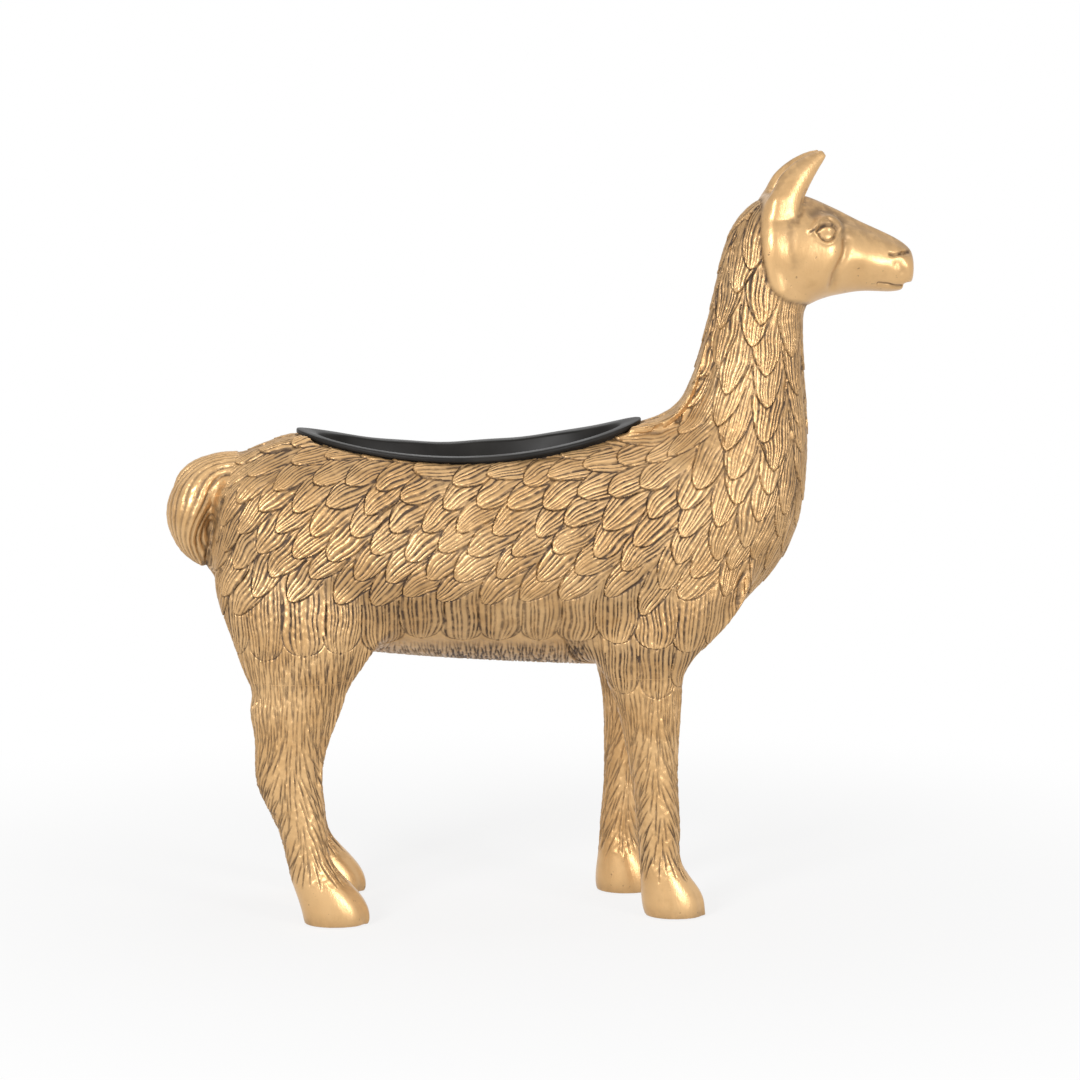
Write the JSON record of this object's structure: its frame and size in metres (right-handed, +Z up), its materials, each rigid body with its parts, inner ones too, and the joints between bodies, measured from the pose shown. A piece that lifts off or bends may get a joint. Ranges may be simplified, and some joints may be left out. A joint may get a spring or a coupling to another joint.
{
  "type": "animal shaped planter",
  "caption": "Standing llama planter in antique gold cast resin with carved fleece, a saddle-shaped opening in the back and a black lift-out liner",
  "frame": {"origin": "on the floor, under the middle of the figure's bounding box", "axes": "+X from tail to nose, +Y to the animal's left, +Z up"},
  "size_m": [0.3793, 0.1182, 0.3872],
  "materials": {
    "antique_gold": "satin",
    "black_plastic": "satin",
    "steel": "satin",
    "felt": "matte"
  },
  "bodies": {
    "llama": {"body_shell": "antique_gold", "head": "antique_gold", "ear_left": "antique_gold", "ear_right": "antique_gold", "tail": "antique_gold", "leg_front_left": "antique_gold", "leg_front_right": "antique_gold", "leg_rear_left": "antique_gold", "leg_rear_right": "antique_gold", "neck_dowel": "steel", "leg_rod_front_left": "steel", "leg_rod_front_right": "steel", "leg_rod_rear_left": "steel", "leg_rod_rear_right": "steel", "foot_pad_front_left": "felt", "foot_pad_front_right": "felt", "foot_pad_rear_left": "felt", "foot_pad_rear_right": "felt"},
    "liner": {"liner": "black_plastic"}
  },
  "joints": [
    {"name": "liner_lift", "type": "slide", "parent": "llama", "child": "liner", "axis": [0, 0, 1], "range_m": [0, 0.1]}
  ]
}
